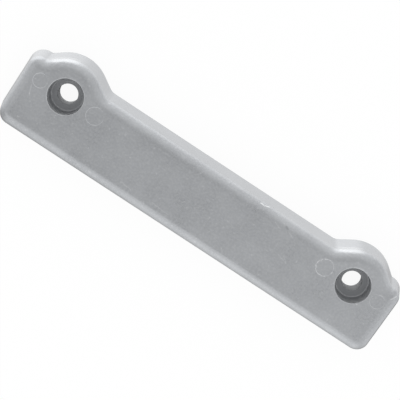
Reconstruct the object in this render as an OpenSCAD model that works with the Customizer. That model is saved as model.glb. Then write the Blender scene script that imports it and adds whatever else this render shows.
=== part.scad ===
// Sacrificial anode for a boat's drive: one zinc casting, bolted down flat.
// A straight bar carries two lobes along one long edge, one at each fixing hole.
// All sizes are in millimetres. The back face lies on the XY plane, the middle
// of the line between the two fixing holes is the origin, and the lobes are on +Y.

/* [Bar] */
// Distance between the two fixing holes
hole_spacing = 165; // [120:1:260]
// Distance from a fixing hole to the nearer end of the bar
end_margin = 25; // [23:0.5:40]
// Width of the bar between the lobes, at the back face
bar_width = 40; // [34:0.5:70]
// Distance from the line of holes to the bar's edge on the lobe side
edge_offset = 11.1; // [6:0.1:15]
// Thickness from the back face to the front face
thickness = 19; // [14:0.5:30]
// Rounding of the upright corners on the plain side, at the back face
corner_r = 7.8; // [2:0.1:12]
// Rounding of the upright corners on the lobe side, at the back face
lobe_corner_r = 7; // [2:0.1:7.5]

/* [Casting] */
// Lean of the side walls, in degrees from upright
wall_draft = 6; // [1:0.5:8]
// Rounding of the edge around the front face
edge_r = 5.5; // [3:0.1:7]

/* [Lobes] */
// How far a lobe stands out from the bar's edge
lobe_reach = 7.6; // [5:0.1:9.5]
// Rounding of a lobe's crown
crown_r = 19.5; // [12:0.5:24]
// How far the crown's middle lies outboard of its fixing hole
crown_shift = 0.5; // [0:0.1:1]
// Slope of a lobe's flank towards the middle of the bar, in degrees
flank_in = 32.5; // [28:0.5:50]
// Slope of a lobe's flank towards the end of the bar, in degrees
flank_out = 38; // [34:0.5:50]
// Rounding where the inner flank meets the bar's edge
root_in_r = 6; // [0.5:0.5:14]
// Rounding where the outer flank meets the bar's edge
root_out_r = 1.5; // [0.5:0.5:6]

/* [Fixing holes] */
// Diameter of the bolt hole
bolt_d = 10; // [6:0.1:12]
// Diameter of the flat seat for the bolt's washer
seat_d = 16.6; // [14:0.1:18]
// Depth of the seat below the front face
pocket_depth = 9.7; // [4:0.1:11]
// Lean of the pocket's wall, in degrees from upright
pocket_draft = 2.8; // [0.5:0.1:5]
// Rounding between the seat and the pocket's wall
seat_round = 0.6; // [0.2:0.1:1.5]
// Rounding of the pocket's mouth
mouth_round = 0.4; // [0.2:0.1:1]

/* [Ejector marks] */
// Diameter of the mark on the inner side of each pocket
inner_mark_d = 9; // [5:0.1:12]
// Diameter of the mark on the outer side of each pocket
outer_mark_d = 7.4; // [4:0.1:8]
// Distance from the pocket's mouth to the inner mark
inner_mark_gap = 2.9; // [1:0.1:10]
// Distance from the pocket's mouth to the outer mark
outer_mark_gap = 1.2; // [0.8:0.1:3]
// Depth of the marks
mark_depth = 0.2; // [0.1:0.05:0.5]

/* [Hidden] */
$fn = 96;
// How far a cutting tool runs past the face that it cuts
overrun = 1;
// Smallest rounding left on a corner as the outline shrinks towards the front face
least_r = 0.5;
// Share of an edge's length that the roundings at its two ends may take
rounded_share = 0.97;
// Angle between neighbouring points on a round stretch of the outline
outline_step = 5;
// Number of facets across the rounded front edge
edge_steps = 10;
// Number of facets across the small roundings inside a pocket
round_steps = 5;
zinc_grey = [0.62, 0.63, 0.65];

hole_x = hole_spacing / 2;
end_x = hole_x + end_margin;
crown_x = hole_x + crown_shift;
plain_edge_y = edge_offset - bar_width;
crown_y = edge_offset + lobe_reach - crown_r;
seat_z = thickness - pocket_depth;
mouth_r = seat_d / 2 + pocket_depth * tan(pocket_draft);

// Distance along the bar from a crown's middle to where a flank of slope a meets the bar's edge
function foot(a) = (crown_r / cos(a) - crown_r + lobe_reach) / tan(a);

// The lobe's two flanks, drawn on as straight lines, cross here
apex_tilt = (flank_out - flank_in) / 2;
apex_reach = crown_r / cos((flank_in + flank_out) / 2);
apex = [crown_x + apex_reach * sin(apex_tilt), crown_y + apex_reach * cos(apex_tilt)];

// Sharp corners of the outline at the back face, each as x, y and its rounding.
// They run anticlockwise: the end and the lobe on +X first, then their mirror images.
right_end = [
    [end_x, plain_edge_y, corner_r],
    [end_x, edge_offset, lobe_corner_r]
];
right_lobe = [
    [crown_x + foot(flank_out), edge_offset, root_out_r],
    [apex[0], apex[1], crown_r],
    [crown_x - foot(flank_in), edge_offset, root_in_r]
];
function mirrored(list) = [for (i = [len(list) - 1:-1:0]) [-list[i][0], list[i][1], list[i][2]]];
corners = concat(right_end, right_lobe, mirrored(right_lobe), mirrored(right_end));
corner_count = len(corners);

function after(i) = (i + 1) % corner_count;
function before(i) = (i + corner_count - 1) % corner_count;
function place(i) = [corners[i][0], corners[i][1]];
// A quarter turn to the left, which points from an edge into the bar
function inward(u) = [-u[1], u[0]];
function turned(u, a) = [u[0] * cos(a) - u[1] * sin(a), u[0] * sin(a) + u[1] * cos(a)];

// Direction of the edge that leaves each corner, and the turn made at each corner
headings = [
    for (i = [0:corner_count - 1]) (place(after(i)) - place(i)) / norm(place(after(i)) - place(i))
];
turns = [
    for (i = [0:corner_count - 1])
        let (u = headings[before(i)], v = headings[i])
        atan2(u[0] * v[1] - u[1] * v[0], u * v)
];
// Movement of each corner when all edges move inward by 1 mm
miters = [
    for (i = [0:corner_count - 1])
        let (u = inward(headings[before(i)]), v = inward(headings[i]))
        (u + v) / (1 + u * v)
];

// Corner, rounding and the length of edge that the rounding takes, at an inset d.
// An outward corner's rounding shrinks with the inset and an inward one's grows,
// so that the insets are true offsets of one another.
function corner_at(i, d) = place(i) + d * miters[i];
function radius_at(i, d) = max(corners[i][2] - sign(turns[i]) * d, least_r);
function tangent_at(i, d) = radius_at(i, d) * tan(abs(turns[i]) / 2);
// How often the two roundings of an edge fit into their share of its length
function room_at(i, d) =
    rounded_share * norm(corner_at(after(i), d) - corner_at(i, d))
    / (tangent_at(i, d) + tangent_at(after(i), d));
function fitted_radius(i, d) = radius_at(i, d) * min(1, room_at(i, d), room_at(before(i), d));

// Points of the outline at an inset d
function outline(d) = [
    for (i = [0:corner_count - 1])
        let (
            side = sign(turns[i]),
            r = fitted_radius(i, d),
            centre = corner_at(i, d) + side * r * miters[i],
            first = inward(headings[before(i)]),
            steps = ceil(abs(turns[i]) / outline_step)
        )
        for (k = [0:steps]) centre - side * r * turned(first, turns[i] * k / steps)
];

// Section through the side: inset and height, up the leaning wall and over the rounded edge
wall_top = thickness - edge_r * (1 - sin(wall_draft));
edge_centre = wall_top * tan(wall_draft) + edge_r * cos(wall_draft);
side_section = concat(
    [[0, 0]],
    [
        for (k = [0:edge_steps])
            let (a = wall_draft + (90 - wall_draft) * k / edge_steps)
            [edge_centre - edge_r * cos(a), thickness - edge_r + edge_r * sin(a)]
    ]
);

// The hubs that a flat face is fanned from, at inset d and height z: one in the bar's middle
// and one at the foot of each lobe's crown. A single fan would cross the hollow beside a lobe.
function hubs(d, z) = [
    [0, (plain_edge_y + edge_offset) / 2, z],
    [crown_x, edge_offset - d, z],
    [-crown_x, edge_offset - d, z]
];
// Which of these hubs serves each corner, and each point of the outline
corner_hubs = concat(
    [for (c = right_end) 0],
    [for (c = right_lobe) 1],
    [for (c = right_lobe) 2],
    [for (c = right_end) 0]
);
point_hubs = [
    for (i = [0:corner_count - 1])
        for (k = [0:ceil(abs(turns[i]) / outline_step)]) corner_hubs[i]
];
per_ring = len(point_hubs);

// Flat face across a ring of the loft, from the numbers of its first point and its first hub
function cap_faces(ring, hub) = [
    for (k = [0:per_ring - 1])
        let (
            next = (k + 1) % per_ring,
            here = point_hubs[k],
            there = point_hubs[next]
        )
        each concat(
            [[hub + (here == there ? here : 0), ring + k, ring + next]],
            // Where a lobe ends or starts, its hub is joined to the bar's
            here != there && here > 0 ? [[hub, hub + here, ring + k]] : [],
            here != there && there > 0 ? [[hub, ring + next, hub + there]] : []
        )
];
function flipped(faces) = [for (f = faces) [f[2], f[1], f[0]]];

// The solid bar with its lobes: the outline carried up the side section, ring on ring
module drafted_bar() {
    rings = len(side_section);
    ring_points = [
        for (s = side_section)
            for (p = outline(s[0])) [p[0], p[1], s[1]]
    ];
    last_ring = (rings - 1) * per_ring;
    front = side_section[rings - 1];
    back_hubs = hubs(0, 0);
    front_hubs = hubs(front[0], front[1]);
    back_hub = rings * per_ring;
    front_hub = back_hub + len(back_hubs);
    sides = [
        for (r = [0:rings - 2], k = [0:per_ring - 1])
            let (here = r * per_ring, n = (k + 1) % per_ring)
            [here + k, here + per_ring + k, here + per_ring + n, here + n]
    ];
    polyhedron(
        points = concat(ring_points, back_hubs, front_hubs),
        faces = concat(cap_faces(0, back_hub), sides, flipped(cap_faces(last_ring, front_hub))),
        convexity = 4
    );
}

// Pocket for a bolt head and washer, turned about the hole's axis, with the bolt hole below it
module fixing_hole() {
    // The rounding at the seat touches the seat and the leaning wall
    seat_reach = seat_round * tan((90 - pocket_draft) / 2);
    seat_centre = [seat_d / 2 - seat_reach, seat_z + seat_round];
    seat_arc = [
        for (k = [0:round_steps])
            let (a = -90 + (90 - pocket_draft) * k / round_steps)
            seat_centre + seat_round * [cos(a), sin(a)]
    ];
    // The rounding at the mouth touches the leaning wall and the front face
    mouth_reach = mouth_round * tan((90 - pocket_draft) / 2);
    mouth_centre = [mouth_r + mouth_reach, thickness - mouth_round];
    mouth_arc = [
        for (k = [0:round_steps])
            let (a = 180 - pocket_draft - (90 - pocket_draft) * k / round_steps)
            mouth_centre + mouth_round * [cos(a), sin(a)]
    ];
    rotate_extrude()
        polygon(concat(
            [[0, seat_z]],
            seat_arc,
            mouth_arc,
            [[mouth_centre[0], thickness + overrun], [0, thickness + overrun]]
        ));
    translate([0, 0, -overrun])
        cylinder(h = seat_z + 2 * overrun, d = bolt_d);
}

// Shallow round marks left by the mould's ejector pins, one on each side of a pocket
module ejector_marks() {
    mouth_edge = mouth_r + mouth_round;
    for (mark = [[-1, inner_mark_gap, inner_mark_d], [1, outer_mark_gap, outer_mark_d]])
        translate([mark[0] * (mouth_edge + mark[1] + mark[2] / 2), 0, thickness - mark_depth])
            cylinder(h = mark_depth + overrun, d = mark[2]);
}

module anode_casting() {
    color(zinc_grey)
        difference() {
            drafted_bar();
            for (side = [0, 1])
                mirror([side, 0, 0])
                    translate([hole_x, 0, 0]) {
                        fixing_hole();
                        ejector_marks();
                    }
        }
}

anode_casting();
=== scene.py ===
from math import ceil, cos, pi, radians, sin, tan

import bmesh
import bpy
import numpy as np
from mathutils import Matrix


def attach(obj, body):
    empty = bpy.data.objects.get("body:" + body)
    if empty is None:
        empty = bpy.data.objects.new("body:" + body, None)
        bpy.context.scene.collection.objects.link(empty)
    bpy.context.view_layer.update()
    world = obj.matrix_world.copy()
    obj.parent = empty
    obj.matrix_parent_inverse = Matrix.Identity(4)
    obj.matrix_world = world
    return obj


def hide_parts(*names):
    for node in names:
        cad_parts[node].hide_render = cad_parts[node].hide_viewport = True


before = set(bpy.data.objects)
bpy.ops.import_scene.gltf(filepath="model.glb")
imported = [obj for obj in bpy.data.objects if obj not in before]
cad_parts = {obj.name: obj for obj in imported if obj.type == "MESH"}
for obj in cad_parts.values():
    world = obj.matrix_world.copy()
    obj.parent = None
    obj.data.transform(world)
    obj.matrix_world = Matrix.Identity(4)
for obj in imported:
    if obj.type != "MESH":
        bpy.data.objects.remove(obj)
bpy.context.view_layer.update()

print("frame loaded")


# Meshes from grids of points

def gridFaces(rows, columns, closed):
    # Quads between neighbouring points of a grid, row by row: corner = row * columns + column.
    # A closed grid joins its last column to its first.
    across = columns if closed else columns - 1
    r, k = np.meshgrid(np.arange(rows - 1), np.arange(across), indexing="ij")
    a, b = r * columns + k, r * columns + (k + 1) % columns
    return np.stack([a, b, b + columns, a + columns], -1).reshape(-1, 4)


def meshFromGrids(name, grids, weld):
    # One closed mesh from several grids that share their borders, each given as its points and
    # whether it is closed
    points, faces, first = [], [], 0
    for grid, closed in grids:
        faces.append(gridFaces(grid.shape[0], grid.shape[1], closed) + first)
        points.append(grid.reshape(-1, 3))
        first += len(points[-1])
    mesh = bpy.data.meshes.new(name)
    mesh.from_pydata(np.concatenate(points), [], np.concatenate(faces).tolist())
    shell = bmesh.new()
    shell.from_mesh(mesh)
    bmesh.ops.remove_doubles(shell, verts=shell.verts, dist=weld)
    bmesh.ops.dissolve_degenerate(shell, edges=shell.edges, dist=weld)
    bmesh.ops.recalc_face_normals(shell, faces=shell.faces)
    shell.to_mesh(mesh)
    shell.free()
    piece = bpy.data.objects.new(name, mesh)
    bpy.context.scene.collection.objects.link(piece)
    return piece


def turned(v, angle):
    # The vectors v turned anticlockwise: (x cos a - y sin a, x sin a + y cos a)
    c, s = np.cos(angle), np.sin(angle)
    return np.stack([c * v[..., 0] - s * v[..., 1], s * v[..., 0] + c * v[..., 1]], -1)


# The bar with its two lobes

casting = dict(
    holeSpacing=0.165,  # between the two fixing holes
    endMargin=0.025,  # from a hole to the nearer end
    plainEdge=-0.0289,  # y of the long edge without lobes
    lobeEdge=0.0111,  # y of the long edge that carries the lobes
    thickness=0.019,
    plainCornerR=0.0078,
    lobeCornerR=0.007,
    draft=radians(6),
    edgeR=0.0055,  # rounding around the front face
    backR=0.0003,  # small break around the back face
    lobeReach=0.0076,
    crownR=0.0195,
    crownShift=0.0005,
    flankIn=radians(32.5),
    flankOut=radians(38),
    rootInR=0.006,
    rootOutR=0.0015,
    leastR=0.0005,  # smallest rounding left as the outline shrinks
    roundedShare=0.97,  # share of an edge that its two roundings may take
    arcStep=radians(3),
    straightStep=0.0015,
    endRows=22,
    wallRows=8,
    edgeRows=22,
    backRows=4,
    sag=0.00004,  # unevenness of the cast skin
    sagWaves=(0.071, 0.043, 0.027, 0.019),
    sagSeed=7,
    edgeSag=0.00005,  # and of its rounded front edge
    edgeWaves=(0.0127, 0.0091, 0.0073, 0.0058, 0.0047),
    edgeSeed=11,
    sharpAngle=radians(32),  # edges steeper than this stay sharp
    weld=1e-6,
)


def outlineCorners(c):
    # Sharp corners of the right half, anticlockwise from the plain side, then their mirror image,
    # each as x, y and rounding. A lobe's two flanks, drawn on, cross at the apex. foot(a) is the run
    # of a flank of slope a along the bar's edge: (crown / cos a - crown + reach) / tan a.
    endX = c["holeSpacing"] / 2 + c["endMargin"]
    crownX = c["holeSpacing"] / 2 + c["crownShift"]
    foot = lambda a: (c["crownR"] / cos(a) - c["crownR"] + c["lobeReach"]) / tan(a)
    tilt = (c["flankOut"] - c["flankIn"]) / 2
    reach = c["crownR"] / cos((c["flankOut"] + c["flankIn"]) / 2)
    apexY = c["lobeEdge"] + c["lobeReach"] - c["crownR"] + reach * cos(tilt)
    right = np.array([
        [endX, c["plainEdge"], c["plainCornerR"]],
        [endX, c["lobeEdge"], c["lobeCornerR"]],
        [crownX + foot(c["flankOut"]), c["lobeEdge"], c["rootOutR"]],
        [crownX + reach * sin(tilt), apexY, c["crownR"]],
        [crownX - foot(c["flankIn"]), c["lobeEdge"], c["rootInR"]],
    ])
    return np.concatenate([right, right[::-1] * [-1, 1, 1]])


def ringPoints(c, corners, plan, insets):
    # Rings of the outline, one for each inset. The corners move in along their mitres, and each is
    # cut by an arc that touches both of its edges:
    # point = arc centre - side * r * (inward normal turned by q * turn).
    # Between two arcs a point is (1 - w) * end of this arc + w * start of the next.
    # The corners' turns are returned too.
    place, rounding = corners[:, :2], corners[:, 2]
    after, before = np.roll(np.arange(len(corners)), -1), np.roll(np.arange(len(corners)), 1)
    heading = place[after] - place
    heading /= np.linalg.norm(heading, axis=1, keepdims=True)
    inward = np.stack([-heading[:, 1], heading[:, 0]], -1)
    arriving = heading[before]
    turn = np.arctan2(
        arriving[:, 0] * heading[:, 1] - arriving[:, 1] * heading[:, 0], (arriving * heading).sum(1)
    )
    side = np.sign(turn)
    mitre = (inward[before] + inward) / (1 + (inward[before] * inward).sum(1))[:, None]
    d = np.asarray(insets, float)[:, None]
    moved = place + d[..., None] * mitre
    r = np.maximum(rounding - side * d, c["leastR"])
    tangent = r * np.tan(abs(turn) / 2)
    edge = np.linalg.norm(moved[:, after] - moved, axis=-1)
    room = c["roundedShare"] * edge / (tangent + tangent[:, after])
    r = r * np.minimum(1, np.minimum(room, room[:, before]))
    centre = moved + (side * r)[..., None] * mitre
    arc = lambda i, q: centre[:, i] - (side * r)[:, i, None] * turned(inward[before][i], turn[i] * q)
    i, q, w = plan["corner"], plan["q"], plan["w"][:, None]
    return (1 - w) * arc(i, q) + w * arc(after[i], 0 * q), turn


def ringPlan(c, corners):
    # Which points a ring has: for each, its corner, how far round that corner's arc it lies (q), and
    # how far along the straight after it (w). The plain edge gets one point below each point of the
    # lobe side's edge.
    last = len(corners) - 1
    # One point for each corner is enough to learn how far the outline turns there
    lone = dict(corner=np.arange(last + 1), q=np.zeros(last + 1), w=np.zeros(last + 1))
    turn = ringPoints(c, corners, lone, [0])[1]
    arcs = [np.linspace(0, 1, ceil(abs(t) / c["arcStep"]) + 1) for t in turn]
    length = np.linalg.norm(np.roll(corners[:, :2], -1, 0) - corners[:, :2], axis=1)
    straights = [np.linspace(0, 1, ceil(s / c["straightStep"]) + 1)[1:-1] for s in length]
    straights[0] = straights[last - 1] = np.linspace(0, 1, c["endRows"] + 1)[1:-1]
    straights[last] = np.zeros(0)

    def joined():
        stretches = [
            (np.full(len(a) + len(s), i), np.append(a, np.ones(len(s))), np.append(np.zeros(len(a)), s))
            for i, (a, s) in enumerate(zip(arcs, straights))
        ]
        return dict(zip(("corner", "q", "w"), map(np.concatenate, zip(*stretches))))

    plan = joined()
    ring = ringPoints(c, corners, plan, [0])[0][0]
    corner, w = plan["corner"], plan["w"]
    onLobeSide = (corner > 1) & (corner < last - 1) | (corner == 1) & (w > 0)
    x = ring[onLobeSide, 0][::-1]
    reach = corners[0, 0] - c["lobeCornerR"]
    straights[last] = (x + reach) / (2 * reach)
    return joined(), len(arcs[0])


def sideSection(c):
    # Inset and height up the side: round the back edge, up the leaning wall and over the front edge.
    # Both roundings are (centre - r cos a, centre + r sin a), from -90 degrees to the draft and from
    # the draft to 90.
    backA = np.linspace(-pi / 2, c["draft"], c["backRows"] + 1)
    edgeA = np.linspace(c["draft"], pi / 2, c["edgeRows"] + 1)
    backIn = c["backR"] * (tan(c["draft"]) + 1 / cos(c["draft"]))
    wallTop = c["thickness"] - c["edgeR"] * (1 - sin(c["draft"]))
    edgeIn = wallTop * tan(c["draft"]) + c["edgeR"] * cos(c["draft"])
    back = np.stack([backIn - c["backR"] * np.cos(backA), c["backR"] * (1 + np.sin(backA))], -1)
    edge = np.stack(
        [edgeIn - c["edgeR"] * np.cos(edgeA), c["thickness"] - c["edgeR"] * (1 - np.sin(edgeA))], -1
    )
    share = np.linspace(0, 1, c["wallRows"] + 1)[1:-1, None]
    return np.concatenate([back, (1 - share) * back[-1] + share * edge[0], edge])


def waves(points, sizes, seed):
    # Mean of sines in x and y, one for each size and each at its own angle a:
    # sin(2 pi (x cos a + y sin a) / size + phase)
    rng = np.random.default_rng(seed)
    total = 0
    for size in sizes:
        way, phase = rng.uniform(0, pi), rng.uniform(0, 2 * pi)
        run = points[..., 0] * cos(way) + points[..., 1] * sin(way)
        total = total + np.sin(2 * pi * run / size + phase)
    return total / len(sizes)


def castSag(c, points):
    # Lowers the skin by sag * fade * (1 + slow waves) / 2. The fade is t^2, with t from 0 at the foot
    # of the front edge's rounding to 1 on the front face.
    fade = np.clip((points[..., 2] - c["thickness"] + c["edgeR"]) / c["edgeR"], 0, 1) ** 2
    points[..., 2] -= c["sag"] * fade * (1 + waves(points, c["sagWaves"], c["sagSeed"])) / 2
    return points


def unevenEdge(c, grid):
    # Moves the rounded edge inward along its normal, the cross product of the ring's run and the
    # section's rise, by edgeSag * (1 + short waves) / 2 * sin^2(pi t), with t from 0 at the foot of
    # the rounding to 1 at its top
    along = np.roll(grid, -1, 1) - np.roll(grid, 1, 1)
    normal = np.cross(along, np.gradient(grid, axis=0))
    normal /= np.linalg.norm(normal, axis=-1, keepdims=True)
    t = np.clip(1 - (c["thickness"] - grid[..., 2]) / c["edgeR"], 0, 1)
    uneven = (1 + waves(grid, c["edgeWaves"], c["edgeSeed"])) / 2
    depth = c["edgeSag"] * np.sin(pi * t) ** 2 * uneven
    return grid - depth[..., None] * normal


def flatFace(ring, cornerPoints, endRows):
    # A flat face ruled across the bar, (1 - v) * plain side + v * lobe side, with the ring's own
    # points as its border
    top = ring[cornerPoints + endRows - 1:][: (len(ring) + 2 - 2 * endRows) // 2]
    bottom = np.roll(ring, -cornerPoints, 0)[::-1][: len(top)]
    v = np.linspace(0, 1, endRows + 1)[:, None, None]
    return (1 - v) * bottom + v * top


corners = outlineCorners(casting)
plan, cornerPoints = ringPlan(casting, corners)
section = sideSection(casting)
rings = ringPoints(casting, corners, plan, section[:, 0])[0]
height = np.broadcast_to(section[:, 1, None, None], rings.shape[:2] + (1,))
sides = castSag(casting, unevenEdge(casting, np.concatenate([rings, height], -1)))
faces = []
for row in (0, -1):  # the back face, then the front face
    flat = flatFace(rings[row], cornerPoints, casting["endRows"])
    z = np.full(flat.shape[:2] + (1,), section[row, 1])
    faces.append(castSag(casting, np.concatenate([flat, z], -1)))
body = meshFromGrids(
    "zinc_casting", [(sides, True), (faces[0], False), (faces[1], False)], casting["weld"]
)
print("bar with lobes:", len(body.data.polygons), "faces")


# The fixing holes and the ejector marks, cut as solids of revolution

hole = dict(
    boltR=0.005,
    boltBreak=0.0002,  # rounding where the bolt hole meets the seat
    seatR=0.0083,  # seat at the bottom of the pocket
    depth=0.0097,
    draft=radians(2.8),  # lean of the pocket's wall
    seatRound=0.0006,
    mouthRound=0.0004,
    overrun=0.001,  # how far the cut goes past both faces
    segments=144,
    arcRows=8,
    wallRows=6,
)
marks = dict(
    innerGap=0.0029,  # from the pocket's mouth
    innerR=0.0045,
    outerGap=0.0012,
    outerR=0.0037,
    depth=0.0002,
    lip=0.00025,  # width of the sloping lip
    segments=96,
)


def arcRow(centre, r, start, end, steps):
    # Points at centre + r (cos a, sin a) for a from start to end
    a = np.linspace(start, end, steps + 1)
    return np.stack([centre[0] + r * np.cos(a), centre[1] + r * np.sin(a)], -1)


def revolved(name, profile, x, segments):
    # A profile of radius and height turned about the upright line through (x, 0):
    # (x + r cos a, r sin a, z)
    a = np.arange(segments) * 2 * pi / segments
    r, z = profile[:, 0, None], profile[:, 1, None]
    grid = np.stack([x + r * np.cos(a), r * np.sin(a), z + 0 * a], -1)
    return meshFromGrids(name, [(grid, True)], casting["weld"])


def holeProfile(h, thickness):
    # Radius and height from the axis below the back face, up the bolt hole, over the seat, up the
    # leaning wall and out of the mouth. Each corner is an arc of radius r about
    # (edge +- r tan(turn / 2), face +- r).
    seatZ = thickness - h["depth"]
    mouthR = h["seatR"] + h["depth"] * tan(h["draft"])
    lean = pi / 2 - h["draft"]
    seatC = (h["seatR"] - h["seatRound"] * tan(lean / 2), seatZ + h["seatRound"])
    mouthC = (mouthR + h["mouthRound"] * tan(lean / 2), thickness - h["mouthRound"])
    boltC = (h["boltR"] + h["boltBreak"], seatZ - h["boltBreak"])
    seatArc = arcRow(seatC, h["seatRound"], -pi / 2, -h["draft"], h["arcRows"])
    mouthArc = arcRow(mouthC, h["mouthRound"], pi - h["draft"], pi / 2, h["arcRows"])
    share = np.linspace(0, 1, h["wallRows"] + 1)[1:-1, None]
    wall = (1 - share) * seatArc[-1] + share * mouthArc[0]
    top = thickness + h["overrun"]
    return np.concatenate([
        [[0, -h["overrun"]], [h["boltR"], -h["overrun"]]],
        arcRow(boltC, h["boltBreak"], pi, pi / 2, h["arcRows"]),
        seatArc, wall, mouthArc,
        [[mouthC[0], top], [0, top]],
    ])


def markProfile(r, m, thickness):
    # Radius and height of a flat floor with a sloping lip up to the front face, drawn on past it
    floor, rise = thickness - m["depth"], m["depth"]
    return np.array([
        [0, floor], [r - m["lip"], floor], [r, thickness],
        [r + m["lip"], floor + 2 * rise], [0, floor + 2 * rise],
    ])


tools, markPlaces = [], []
mouthEdge = hole["seatR"] + hole["depth"] * tan(hole["draft"]) + hole["mouthRound"]
for side in (-1, 1):
    holeX = side * casting["holeSpacing"] / 2
    profile = holeProfile(hole, casting["thickness"])
    tools.append(revolved("hole_tool", profile, holeX, hole["segments"]))
    for way, gap, r in ((-1, "innerGap", "innerR"), (1, "outerGap", "outerR")):
        markX = holeX + side * way * (mouthEdge + marks[gap] + marks[r])
        if side > 0:
            markPlaces.append((markX, marks[r]))
        profile = markProfile(marks[r], marks, casting["thickness"])
        tools.append(revolved("mark_tool", profile, markX, marks["segments"]))
for tool in tools:
    cut = body.modifiers.new("cut", "BOOLEAN")
    cut.operation, cut.solver, cut.object = "DIFFERENCE", "MANIFOLD", tool
ready = body.evaluated_get(bpy.context.evaluated_depsgraph_get())
mesh = bpy.data.meshes.new_from_object(ready)
body.modifiers.clear()
body.data = mesh
mesh.name = "zinc_casting"
for tool in tools:
    bpy.data.objects.remove(tool)
mesh.shade_smooth()
mesh.set_sharp_from_angle(angle=casting["sharpAngle"])
even = body.modifiers.new("even_shading", "WEIGHTED_NORMAL")
even.mode, even.weight, even.keep_sharp = "FACE_AREA", 50, True
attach(body, "root")
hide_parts("anode_casting")
print("holes and marks cut:", len(mesh.polygons), "faces")


# Materials

class Wire:
    # One output of a node. Arithmetic on wires adds Math nodes to the same tree.
    def __init__(self, shader, socket):
        self.shader, self.socket = shader, socket

    def math(self, operation, *values):
        return self.shader.node("ShaderNodeMath", dict(operation=operation), dict(enumerate(values)))

    def __add__(self, other):
        return self.math("ADD", self, other)

    def __radd__(self, other):
        return self.math("ADD", other, self)

    def __sub__(self, other):
        return self.math("SUBTRACT", self, other)

    def __rsub__(self, other):
        return self.math("SUBTRACT", other, self)

    def __mul__(self, other):
        return self.math("MULTIPLY", self, other)

    def __rmul__(self, other):
        return self.math("MULTIPLY", other, self)

    def __truediv__(self, other):
        return self.math("DIVIDE", self, other)

    def __rtruediv__(self, other):
        return self.math("DIVIDE", other, self)

    def __pow__(self, other):
        return self.math("POWER", self, other)

    def __rpow__(self, other):
        return self.math("POWER", other, self)

    def __abs__(self):
        return self.math("ABSOLUTE", self)


class Shader:
    # A material's or the world's node tree, emptied and ready for new nodes
    def __init__(self, owner):
        owner.use_nodes = True
        self.tree = owner.node_tree
        self.tree.nodes.clear()

    def node(self, kind, settings=None, inputs=None, output=0):
        # Adds a node: its settings first, then a value or a link for each of its inputs, by name or
        # number
        made = self.tree.nodes.new(kind)
        for name, value in (settings or {}).items():
            setattr(made, name, value)
        for name, value in (inputs or {}).items():
            if isinstance(value, Wire):
                self.tree.links.new(value.socket, made.inputs[name])
            else:
                made.inputs[name].default_value = value
        return Wire(self, made.outputs[output]) if len(made.outputs) else None

    def mix(self, factor, a, b):
        # A colour between a and b, each of them a wire or its red, green and blue
        a, b = (colour if isinstance(colour, Wire) else colour + (1,) for colour in (a, b))
        return self.node("ShaderNodeMix", dict(data_type="RGBA"), {0: factor, 6: a, 7: b}, 2)

    def smooth(self, value, low, high):
        # 0 at low, 1 at high, smooth in between
        return self.node(
            "ShaderNodeMapRange", dict(interpolation_type="SMOOTHSTEP"), {0: value, 1: low, 2: high}
        )

    def noise(self, place, scale, detail, roughness):
        return self.node("ShaderNodeTexNoise", {}, {
            "Vector": place, "Scale": scale, "Detail": detail, "Roughness": roughness,
        })

    def axes(self, vector):
        return [self.node("ShaderNodeSeparateXYZ", {}, {0: vector}, k) for k in range(3)]

    def line(self, distance, width):
        # 1 on a thin line, 0 from half its width onward
        return 1 - self.smooth(distance, 0.1 * width, 0.5 * width)


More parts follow.
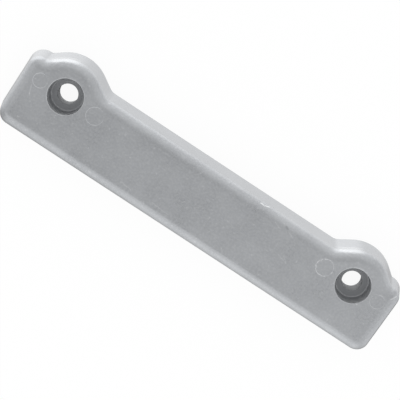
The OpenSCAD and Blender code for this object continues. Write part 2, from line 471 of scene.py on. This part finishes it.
zinc = dict(
    # Colours, linear
    colour=(0.385, 0.396, 0.41),
    # darker tone of the mottled skin, also the painted shade on the leaning sides
    darkMottleAndWallShade=(0.352, 0.362, 0.376),
    bright=(0.47, 0.48, 0.492),
    wearAndHighlight=(0.62, 0.63, 0.64),  # scratches and specks, and the painted highlights and glints
    stain=(0.24, 0.248, 0.26),
    pocketNearMouth=(0.31, 0.318, 0.328),  # inside the pockets, near the mouth
    seat=(0.335, 0.343, 0.355),  # and at the bottom
    bore=(0.28, 0.288, 0.298),
    # Noises: scale, detail and roughness
    noises=dict(
        cloud=(55, 4.0, 0.55),
        grain=(900, 2.0, 0.6),
        skin=(330, 3.0, 0.5),
        coarse=(760, 1.0, 0.5),
        speckle=(520, 1.0, 0.5),
    ),
    # The noise's value where each of its patches starts and where it is full
    mottled=(0.33, 0.67),
    grainy=(0.35, 0.75),
    speckled=(0.70, 0.76),
    broken=(0.46, 0.58),
    # Depths below the front face between which each finish, and each painted highlight, glint and
    # shade, fades in, on the way up
    depths=dict(
        pocketTop=(0.0095, 0.0025),
        seatEdge=(0.0091, 0.0085),
        highlightRubFoot=(0.0087, 0.0065),
        # below these depths the leaning sides carry painted shade
        wallTop=(0.007, 0.0045),
        edgeFoot=(0.0062, 0.0045),
        upper=(0.0055, 0.004),  # scratches and specks stay above this
        highlightRubTop=(0.0025, 0.0014),
        front=(0.0007, 0.0003),
        mouth=(0.0007, 0.0004),
        edgeTop=(0.0004, 0.0001),
    ),
    # How far each finish, and the painted shade on the leaning sides, covers the plain skin
    grainShare=0.4,
    wallShadeShare=0.25,
    speckShare=0.22,
    shake=0.0012,  # how far the scratches are shaken out of line
    # Painted glints, thin light lines on the rims: their width, how far inside the edge they run, and
    # their strength, which is plain plus cloudy times the cloud noise
    lineWidth=0.00045,
    mouthGlint=dict(inset=0.00018, plain=0.04, cloudy=0.55),
    markGlint=dict(inset=0.0001, plain=-0.025, cloudy=0.35),
    paintedSeatGlint=dict(inset=0.0002, width=0.0014, share=0.35),
    clearness=(0.45, 0.15),  # how much stronger the painted glints on the right lobe's inner and outer ejector marks are
    clearWidth=0.00072,
    clearFrom=(-0.001, 0.001),  # x over which that sets in
    # The stretch of each lobe's rounding that gets a painted highlight and a little less roughness
    paintedHighlightRub=dict(
        leftOfHole=(0.0115, 0.0135),  # from the left and from the right hole to its middle
        full=0.005,  # half its length where it is full
        ended=0.0105,  # and where it has ended
        pastEdge=(-0.0016, 0.0004),  # from the long edge, where it fades in
        ragged=0.0014,
        share=0.24,
        smoother=0.04,
    ),
    pocketFade=(0.00013, 0.00043),  # past the mouth's edge
    boreFade=(0.00005, 0.0002),  # past the bolt hole's wall
    # Roughness: plain, then what the clouds, the grain and the pockets add
    roughness=dict(plain=0.305, cloud=0.10, grain=0.12, pocket=0.35),
    pocketDull=0.5,  # how much less metallic the pockets are
    # Bump: the share of each noise, then the strength and the height
    bump=dict(grain=0.6, skin=0.9, specks=0.2, edge=1.5, strength=0.3, height=0.0002),
)
# Scratches, stains and light dashes on the front: start, end, width and strength. A negative strength
# is a stain.
scratches = [
    ((0.0231, 0.0087), (0.0248, 0.0085), 0.0007, 0.9),
    ((0.0248, 0.0085), (0.0278, 0.0091), 0.0006, 0.9),
    ((0.0335, 0.0052), (0.0372, 0.0040), 0.0006, 0.35),
    ((0.0395, 0.0061), (0.0406, 0.0058), 0.0016, -0.5),
    ((0.0420, 0.0047), (0.0452, 0.0034), 0.0006, 0.3),
    ((-0.0384, -0.0196), (-0.0322, -0.0204), 0.0008, 0.3),
    ((-0.0205, -0.0198), (-0.0108, -0.0206), 0.0007, 0.25),
    ((0.0441, -0.0072), (0.0498, -0.0090), 0.0005, 0.3),
    ((0.0466, -0.0066), (0.0490, -0.0083), 0.0005, 0.25),
    ((-0.0990, -0.0040), (-0.0972, -0.0088), 0.0007, 0.3),
    ((-0.1002, 0.0012), (-0.0978, 0.0036), 0.0006, 0.25),
    # light dashes round the left and top of the right hole's inner ejector mark's rim
    ((0.0630, 0.0028), (0.0625, 0.0019), 0.0008, 0.7),
    ((0.0621, 0.0010), (0.0620, -0.0002), 0.0007, 0.6),
    ((0.0622, -0.0014), (0.0626, -0.0022), 0.0007, 0.5),
    ((0.0649, 0.0039), (0.0640, 0.0035), 0.0008, 0.6),
    ((0.1015, 0.0046), (0.1031, 0.0071), 0.0009, 0.6),
    ((0.0890, -0.0066), (0.0893, -0.0067), 0.0008, 0.6),
    ((-0.0977, -0.0079), (-0.0973, -0.0081), 0.0008, 0.5),
    ((-0.0966, -0.0203), (-0.0962, -0.0203), 0.0008, 0.35),
    ((-0.0818, -0.0101), (-0.0815, -0.0101), 0.0008, 0.4),
    ((-0.0919, 0.0089), (-0.0916, 0.0090), 0.0008, 0.35),
]


def scratch(s, x, y, start, end, width):
    # Distance to the line from start to end, |place - start - t * run|, with
    # t = (place - start) . run / run^2, kept between 0 and 1
    runX, runY = end[0] - start[0], end[1] - start[1]
    u, v = x - start[0], y - start[1]
    t = s.node(
        "ShaderNodeMath", dict(operation="ADD", use_clamp=True),
        {0: (u * runX + v * runY) / (runX * runX + runY * runY), 1: 0.0}
    )
    offX, offY = u - t * runX, v - t * runY
    return s.line((offX * offX + offY * offY) ** 0.5, width)


def fromAxis(x, y, centre):
    # Distance from the upright line through (centre, 0) or its mirror image:
    # the root of (|x| - centre)^2 + y^2
    off = abs(x) - centre
    return (off * off + y * y) ** 0.5


def paintedRimGlints(s, z, x, y, fromHole, cloud, coarse):
    # Painted glints: light lines round the pockets' mouths and the ejector marks' rims, stronger on the
    # right
    mouth, mark = z["mouthGlint"], z["markGlint"]
    lines = s.line(abs(fromHole - mouthEdge + mouth["inset"]), z["lineWidth"])
    lines = lines * (mouth["plain"] + mouth["cloudy"] * cloud)
    clear = s.smooth(x, *z["clearFrom"]) * s.smooth(coarse, *z["broken"])
    for (centre, r), clearness in zip(markPlaces, z["clearness"]):
        offRing = abs(fromAxis(x, y, centre) - r + mark["inset"])
        lines = lines + s.line(offRing, z["lineWidth"]) * (mark["plain"] + mark["cloudy"] * cloud)
        lines = lines + s.line(offRing, z["clearWidth"]) * (clearness * clear)
    return lines


def castZinc(z):
    # The casting's material: plain skin first, then its marks, the painted highlight on the lobes and
    # the pockets over it
    material = bpy.data.materials.new("zinc_skin")
    s = Shader(material)
    place = s.node("ShaderNodeTexCoord", output=3)
    x, y, high = s.axes(place)
    cloud, grain, skin, coarse, speckle = (s.noise(place, *values) for values in z["noises"].values())
    fromHole = fromAxis(x, y, casting["holeSpacing"] / 2)

    def risen(name, height=high):
        # 0 below the two depths of that name, 1 above them
        return s.smooth(height, *(casting["thickness"] - depth for depth in z["depths"][name]))

    # Mottled skin, a little brighter where the grain stands up, and painted shade on the leaning sides
    # below the front edge, darker where they would mirror the floor's shadow
    base = s.mix(s.smooth(cloud, *z["mottled"]), z["darkMottleAndWallShade"], z["colour"])
    base = s.mix(z["grainShare"] * s.smooth(grain, *z["grainy"]), base, z["bright"])
    # painted shade on the leaning sides
    base = s.mix(z["wallShadeShare"] * (1 - risen("wallTop")), base, z["darkMottleAndWallShade"])

    # Scratches, stains and specks. The place is shaken a little, so that no line is straight.
    shakenX, shakenY = x + z["shake"] * (skin - 0.5), y + z["shake"] * (grain - 0.5)
    upper = risen("upper")
    for start, end, width, strength in scratches:
        mark = upper * scratch(s, shakenX, shakenY, start, end, width) * abs(strength)
        base = s.mix(mark, base, z["wearAndHighlight"] if strength > 0 else z["stain"])
    specks = s.smooth(speckle, *z["speckled"]) * upper
    base = s.mix(z["speckShare"] * specks, base, z["wearAndHighlight"])
    # painted glints on the rims of the pockets and the ejector marks
    base = s.mix(paintedRimGlints(s, z, x, y, fromHole, cloud, coarse) * risen("front"), base, z["wearAndHighlight"])

    # A stretch of each lobe's rounding gets a painted highlight, a lighter colour with a ragged border,
    # and is a little smoother
    paintedHighlightRub = z["paintedHighlightRub"]
    middles = [side * casting["holeSpacing"] / 2 - off for side, off in zip((-1, 1), paintedHighlightRub["leftOfHole"])]
    offHighlightRub = x.math("MINIMUM", *(abs(x - middle) for middle in middles))
    onLobe = s.smooth(y, *(casting["lobeEdge"] + past for past in paintedHighlightRub["pastEdge"]))
    ragged = high + paintedHighlightRub["ragged"] * (coarse - 0.5)
    paintedHighlightAndRub = onLobe * (1 - s.smooth(offHighlightRub, paintedHighlightRub["full"], paintedHighlightRub["ended"]))
    paintedHighlightAndRub = paintedHighlightAndRub * risen("highlightRubFoot", ragged) * (1 - risen("highlightRubTop", ragged))
    # painted highlight on the lobes' rounding
    base = s.mix(paintedHighlightRub["share"] * paintedHighlightAndRub, base, z["wearAndHighlight"])

    # Darker and duller inside the pockets and the bores, lighter at the seat than near the mouth, with
    # a painted glint, a light line, round the seat
    pocket = 1 - s.smooth(fromHole, *(mouthEdge + past for past in z["pocketFade"]))
    pocket = pocket * (1 - risen("mouth"))
    bore = 1 - s.smooth(fromHole, *(hole["boltR"] + past for past in z["boreFade"]))
    inside = s.mix(bore, s.mix(risen("pocketTop"), z["seat"], z["pocketNearMouth"]), z["bore"])
    paintedSeatGlint = s.line(abs(fromHole - hole["seatR"] + z["paintedSeatGlint"]["inset"]), z["paintedSeatGlint"]["width"])
    # painted glint at the seat's edge
    inside = s.mix(z["paintedSeatGlint"]["share"] * paintedSeatGlint * (1 - risen("seatEdge")), inside, z["wearAndHighlight"])
    base = s.mix(pocket, base, inside)

    rough = z["roughness"]
    roughness = rough["plain"] + rough["cloud"] * (cloud - 0.5) + rough["grain"] * (grain - 0.5)
    roughness = roughness + rough["pocket"] * pocket - paintedHighlightRub["smoother"] * paintedHighlightAndRub

    # The skin stands up in fine grains, and coarser ones on the rounded edge
    bump = z["bump"]
    edge = risen("edgeFoot") * (1 - risen("edgeTop"))
    height = bump["grain"] * grain + bump["skin"] * skin + bump["specks"] * specks
    height = height + bump["edge"] * edge * coarse
    normal = s.node("ShaderNodeBump", {}, {
        "Strength": bump["strength"], "Distance": bump["height"], "Height": height,
    })
    surface = s.node("ShaderNodeBsdfPrincipled", {}, {
        "Base Color": base, "Metallic": 1 - z["pocketDull"] * pocket, "Roughness": roughness,
        "Normal": normal,
    })
    s.node("ShaderNodeOutputMaterial", {}, {"Surface": surface})
    return material


body.data.materials.clear()
body.data.materials.append(castZinc(zinc))
print("zinc finished")


# Floor, surround and camera

studio = dict(
    floorSize=6.0,
    floorDrop=0.00005,
    floorColour=(0.94, 0.94, 0.94, 1),
    floorGlow=0.93,  # share of plain white in the floor where the camera sees it
    level=1.17,  # the surround's light, and how it changes with the direction's x, y and z
    slopes=dict(z=0.22, x=-0.14, y=-0.07, zz=-0.46, xz=0.28, yz=-0.19, xx=-0.24, yy=0.19, xy=-0.16),
    # Soft boxes and dark screens all round: light, middle and half width in azimuth, and the heights,
    # from the top down, where it starts, is full, fades and has ended. A screen's light is below 0.
    # Angles are in degrees.
    boxes=[
        dict(light=1.02, around=143, half=61, top=8, full=-18, fading=-64, ended=-81),
        dict(light=0.35, around=205, half=38, top=-25, full=-48, fading=-75, ended=-90),
        dict(light=-0.39, around=240, half=40, top=40, full=31, fading=-71, ended=-83),
        dict(light=-0.22, around=337, half=27, top=-44, full=-58, fading=-70, ended=-88),
        dict(light=0.26, around=347, half=32, top=5, full=-15, fading=-30, ended=-46),
        dict(light=0.39, around=12, half=44, top=33, full=17, fading=-25, ended=-41),
        dict(light=0.72, around=53, half=73, top=-1, full=-46, fading=-72, ended=-81),
    ],
    # The camera and its stand darken the surround overhead: by how much, in which direction, and how
    # far round it that is full and reaches
    overhead=dict(depth=0.22, way=(-0.06, -0.15, 1.0), full=5, reach=24),
    leastFlat=1e-6,  # keeps the azimuth sound straight overhead
)


def studioFloor(st):
    # A matt square just below the part, near white where the camera sees it
    half = st["floorSize"] / 2
    u, v = np.meshgrid([-half, half], [-half, half])
    points = np.stack([u, v, 0 * u - st["floorDrop"]], -1)
    mesh = bpy.data.meshes.new("floor")
    mesh.from_pydata(points.reshape(-1, 3), [], gridFaces(2, 2, False).tolist())
    floor = bpy.data.objects.new("floor", mesh)
    bpy.context.scene.collection.objects.link(floor)
    material = bpy.data.materials.new("pale_floor")
    s = Shader(material)
    seen = s.node("ShaderNodeLightPath", output="Is Camera Ray") * st["floorGlow"]
    matt = s.node("ShaderNodeBsdfDiffuse", {}, {"Color": st["floorColour"]})
    glow = s.node("ShaderNodeEmission", {}, {"Color": (1, 1, 1, 1), "Strength": 1.0})
    both = s.node("ShaderNodeMixShader", {}, {0: seen, 1: matt, 2: glow})
    s.node("ShaderNodeOutputMaterial", {}, {"Surface": both})
    mesh.materials.append(material)
    floor.visible_glossy = False  # the metal mirrors the surround instead
    return floor


def studioWorld(st):
    # The surround that lights the part, and plain white where the camera sees it. Its level is a sum
    # of slopes in the direction's x, y and z and of their products, with the boxes added and the
    # overhead spot taken off.
    world = bpy.data.worlds.new("studio")
    s = Shader(world)
    way = dict(zip("xyz", s.axes(s.node("ShaderNodeTexCoord", output=0))))
    level = st["level"]
    for name, slope in st["slopes"].items():
        term = slope * way[name[0]]
        level = level + (term * way[name[1]] if len(name) == 2 else term)
    # The boxes: smooth in azimuth, from the cosine at their edge to 1, and smooth in height at top
    # and bottom
    flat = (way["x"] * way["x"] + way["y"] * way["y"] + st["leastFlat"]) ** 0.5
    depth = s.node("ShaderNodeMath", dict(operation="ARCSINE"), {0: -1 * way["z"]}) * (180 / pi)
    for box in st["boxes"]:
        around = radians(box["around"])
        facing = (cos(around) * way["x"] + sin(around) * way["y"]) / flat
        across = s.smooth(facing, cos(radians(box["half"])), 1)
        down = s.smooth(depth, -box["top"], -box["full"])
        down = down * (1 - s.smooth(depth, -box["fading"], -box["ended"]))
        level = level + box["light"] * across * down
    spot = st["overhead"]
    length = sum(k * k for k in spot["way"]) ** 0.5
    along = sum(k / length * way[name] for name, k in zip("xyz", spot["way"]))
    reach, full = cos(radians(spot["reach"])), cos(radians(spot["full"]))
    level = level - spot["depth"] * s.smooth(along, reach, full)
    camera = s.node("ShaderNodeLightPath", output="Is Camera Ray")
    strength = camera + (1 - camera) * level
    back = s.node("ShaderNodeBackground", {}, {"Color": (1, 1, 1, 1), "Strength": strength})
    s.node("ShaderNodeOutputWorld", {}, {"Surface": back})
    bpy.context.scene.world = world


view = dict(
    place=(-0.05989, 0.13540, 0.70276),
    turn=(-12.3386, 2.4959, 33.4906),  # degrees about X, Y and Z
    focalPixels=1465.27,
    imagePixels=400,
    sensorWidth=36.0,
    nearest=0.05,
    farthest=20,
)


def photoCamera(v):
    # The photo's camera. Its focal length is focalPixels / imagePixels of the sensor's width.
    lens = bpy.data.cameras.new("camera")
    lens.sensor_width = v["sensorWidth"]
    lens.lens = v["focalPixels"] * v["sensorWidth"] / v["imagePixels"]
    lens.clip_start, lens.clip_end = v["nearest"], v["farthest"]
    camera = bpy.data.objects.new("camera", lens)
    camera.location = v["place"]
    camera.rotation_euler = [radians(t) for t in v["turn"]]
    bpy.context.scene.collection.objects.link(camera)
    bpy.context.scene.camera = camera


studioFloor(studio)
studioWorld(studio)
photoCamera(view)
bpy.context.scene.view_settings.view_transform = "Standard"
print("studio set")
